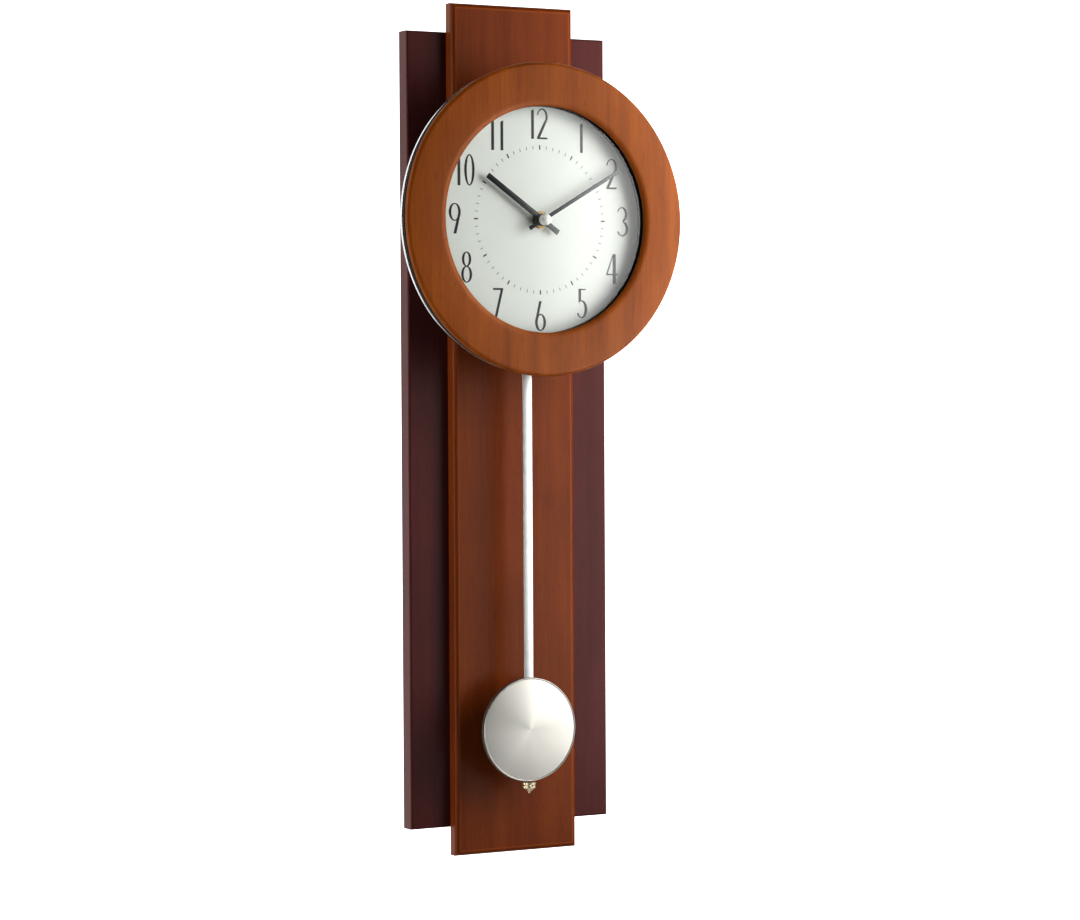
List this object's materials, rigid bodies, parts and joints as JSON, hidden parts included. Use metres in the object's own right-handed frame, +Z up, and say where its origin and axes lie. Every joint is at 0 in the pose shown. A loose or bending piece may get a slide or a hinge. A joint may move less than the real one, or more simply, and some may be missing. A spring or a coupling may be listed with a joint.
{
  "type": "wall clock",
  "caption": "Wall clock: round wooden head with a domed glass and pale dial on stacked boards, above a long pendulum with a round metal bob.",
  "frame": {"origin": "middle of the hanger's keyhole, on the rear plane of the back board", "axes": "+Z up, the clock faces -Y, +X to the right seen from the front"},
  "size_m": [0.1666, 0.0585, 0.4572],
  "materials": {
    "mahogany_board": "satin lacquer",
    "walnut_board": "satin lacquer",
    "bezel_wood": "satin lacquer",
    "zinc_steel": "yellow zinc plated",
    "plate_steel": "zinc plated",
    "black_rubber": "matt",
    "black_plastic": "moulded",
    "clear_glass": "polished",
    "silver_metal": "bright anodised",
    "dial_print": "satin paper print",
    "hand_paint": "satin charcoal",
    "nut_ivory": "satin",
    "brass": "turned",
    "arbor_steel": "ground",
    "wheel_plastic": "moulded acetal",
    "magnet_ferrite": "sintered",
    "core_steel": "rolled sheet",
    "copper_wire": "enamelled winding",
    "green_laminate": "solder resist",
    "battery_sleeve": "shrink sleeve",
    "spring_steel": "nickel plated",
    "rod_metal": "satin",
    "bob_metal": "spun",
    "bob_steel": "rolled sheet",
    "ornament_metal": "pale plated"
  },
  "bodies": {
    "clock": {"back_board": "mahogany_board", "front_board": "walnut_board", "board_screws": "zinc_steel", "hanger_plate": "plate_steel", "hanger_screws": "zinc_steel", "wall_pads": "black_rubber", "standoff_posts": "black_plastic", "post_rear_screws": "zinc_steel", "post_front_screws": "plate_steel", "bezel_ring": "bezel_wood", "bezel_screws": "plate_steel", "lens": "clear_glass", "lens_gasket": "black_rubber", "spacer_ring": "black_plastic", "head_pan": "silver_metal", "dial_plate": "dial_print", "bushing_nut": "brass", "brass_washer": "brass", "rubber_washer": "black_rubber", "front_case": "black_plastic", "rear_case": "black_plastic", "case_screws": "plate_steel", "train_plate": "wheel_plastic", "stator": "core_steel", "motor_coil": "copper_wire", "circuit_board": "green_laminate", "quartz_crystal": "spring_steel", "contact_positive": "spring_steel", "contact_negative": "spring_steel", "pivot_pin": "arbor_steel", "drive_coil": "copper_wire"},
    "minute": {"centre_arbor": "arbor_steel", "centre_wheel": "brass", "minute_hand": "hand_paint", "cap_nut": "nut_ivory"},
    "hour": {"hour_wheel": "wheel_plastic", "hour_hand": "hand_paint"},
    "motion_work": {"minute_wheel": "wheel_plastic"},
    "third": {"third_wheel": "brass"},
    "seconds": {"seconds_wheel": "wheel_plastic"},
    "intermediate": {"intermediate_wheel": "wheel_plastic"},
    "rotor": {"rotor_shaft": "wheel_plastic", "rotor_magnet": "magnet_ferrite"},
    "setting": {"setting_arbor": "wheel_plastic", "setting_knob": "black_plastic"},
    "pendulum": {"pendulum_hanger": "wheel_plastic", "hanger_magnet": "magnet_ferrite", "pendulum_rod": "rod_metal", "bob_front": "bob_metal", "bob_back": "bob_steel", "rating_screw": "brass", "rating_nut": "ornament_metal"},
    "cell": {"battery": "battery_sleeve"}
  },
  "joints": [
    {"name": "minute_turn", "type": "hinge", "parent": "clock", "child": "minute", "pos_m": [0, -0.038, -0.0779], "axis": [0, 1, 0], "continuous": true},
    {"name": "hour_turn", "type": "hinge", "parent": "clock", "child": "hour", "pos_m": [0, -0.042, -0.0779], "axis": [0, 1, 0], "continuous": true},
    {"name": "motion_work_turn", "type": "hinge", "parent": "clock", "child": "motion_work", "pos_m": [-0.00902, -0.04, -0.08118], "axis": [0, 1, 0], "continuous": true},
    {"name": "setting_turn", "type": "hinge", "parent": "clock", "child": "setting", "pos_m": [-0.01418, -0.03, -0.08856], "axis": [0, 1, 0], "continuous": true},
    {"name": "third_turn", "type": "hinge", "parent": "clock", "child": "third", "pos_m": [0.00885, -0.038, -0.08409], "axis": [0, 1, 0], "continuous": true},
    {"name": "seconds_turn", "type": "hinge", "parent": "clock", "child": "seconds", "pos_m": [0.00708, -0.038, -0.09414], "axis": [0, 1, 0], "continuous": true},
    {"name": "intermediate_turn", "type": "hinge", "parent": "clock", "child": "intermediate", "pos_m": [-0.00179, -0.038, -0.0957], "axis": [0, 1, 0], "continuous": true},
    {"name": "rotor_turn", "type": "hinge", "parent": "clock", "child": "rotor", "pos_m": [-0.00799, -0.032, -0.0968], "axis": [0, 1, 0], "continuous": true},
    {"name": "pendulum_swing", "type": "hinge", "parent": "clock", "child": "pendulum", "pos_m": [0, -0.03, -0.1119], "axis": [0, 1, 0], "range_deg": [-7, 7]},
    {"name": "battery_slide", "type": "slide", "parent": "clock", "child": "cell", "axis": [0, 1, 0], "range_m": [0, 0.046]}
  ],
  "couplings": [
    {"joint": "hour_turn", "follows": "minute_turn", "ratio": 0.083333},
    {"joint": "motion_work_turn", "follows": "minute_turn", "ratio": -0.33333},
    {"joint": "setting_turn", "follows": "minute_turn", "ratio": 1.3333},
    {"joint": "third_turn", "follows": "minute_turn", "ratio": -8},
    {"joint": "seconds_turn", "follows": "minute_turn", "ratio": 60},
    {"joint": "intermediate_turn", "follows": "minute_turn", "ratio": -300},
    {"joint": "rotor_turn", "follows": "minute_turn", "ratio": 1800}
  ]
}
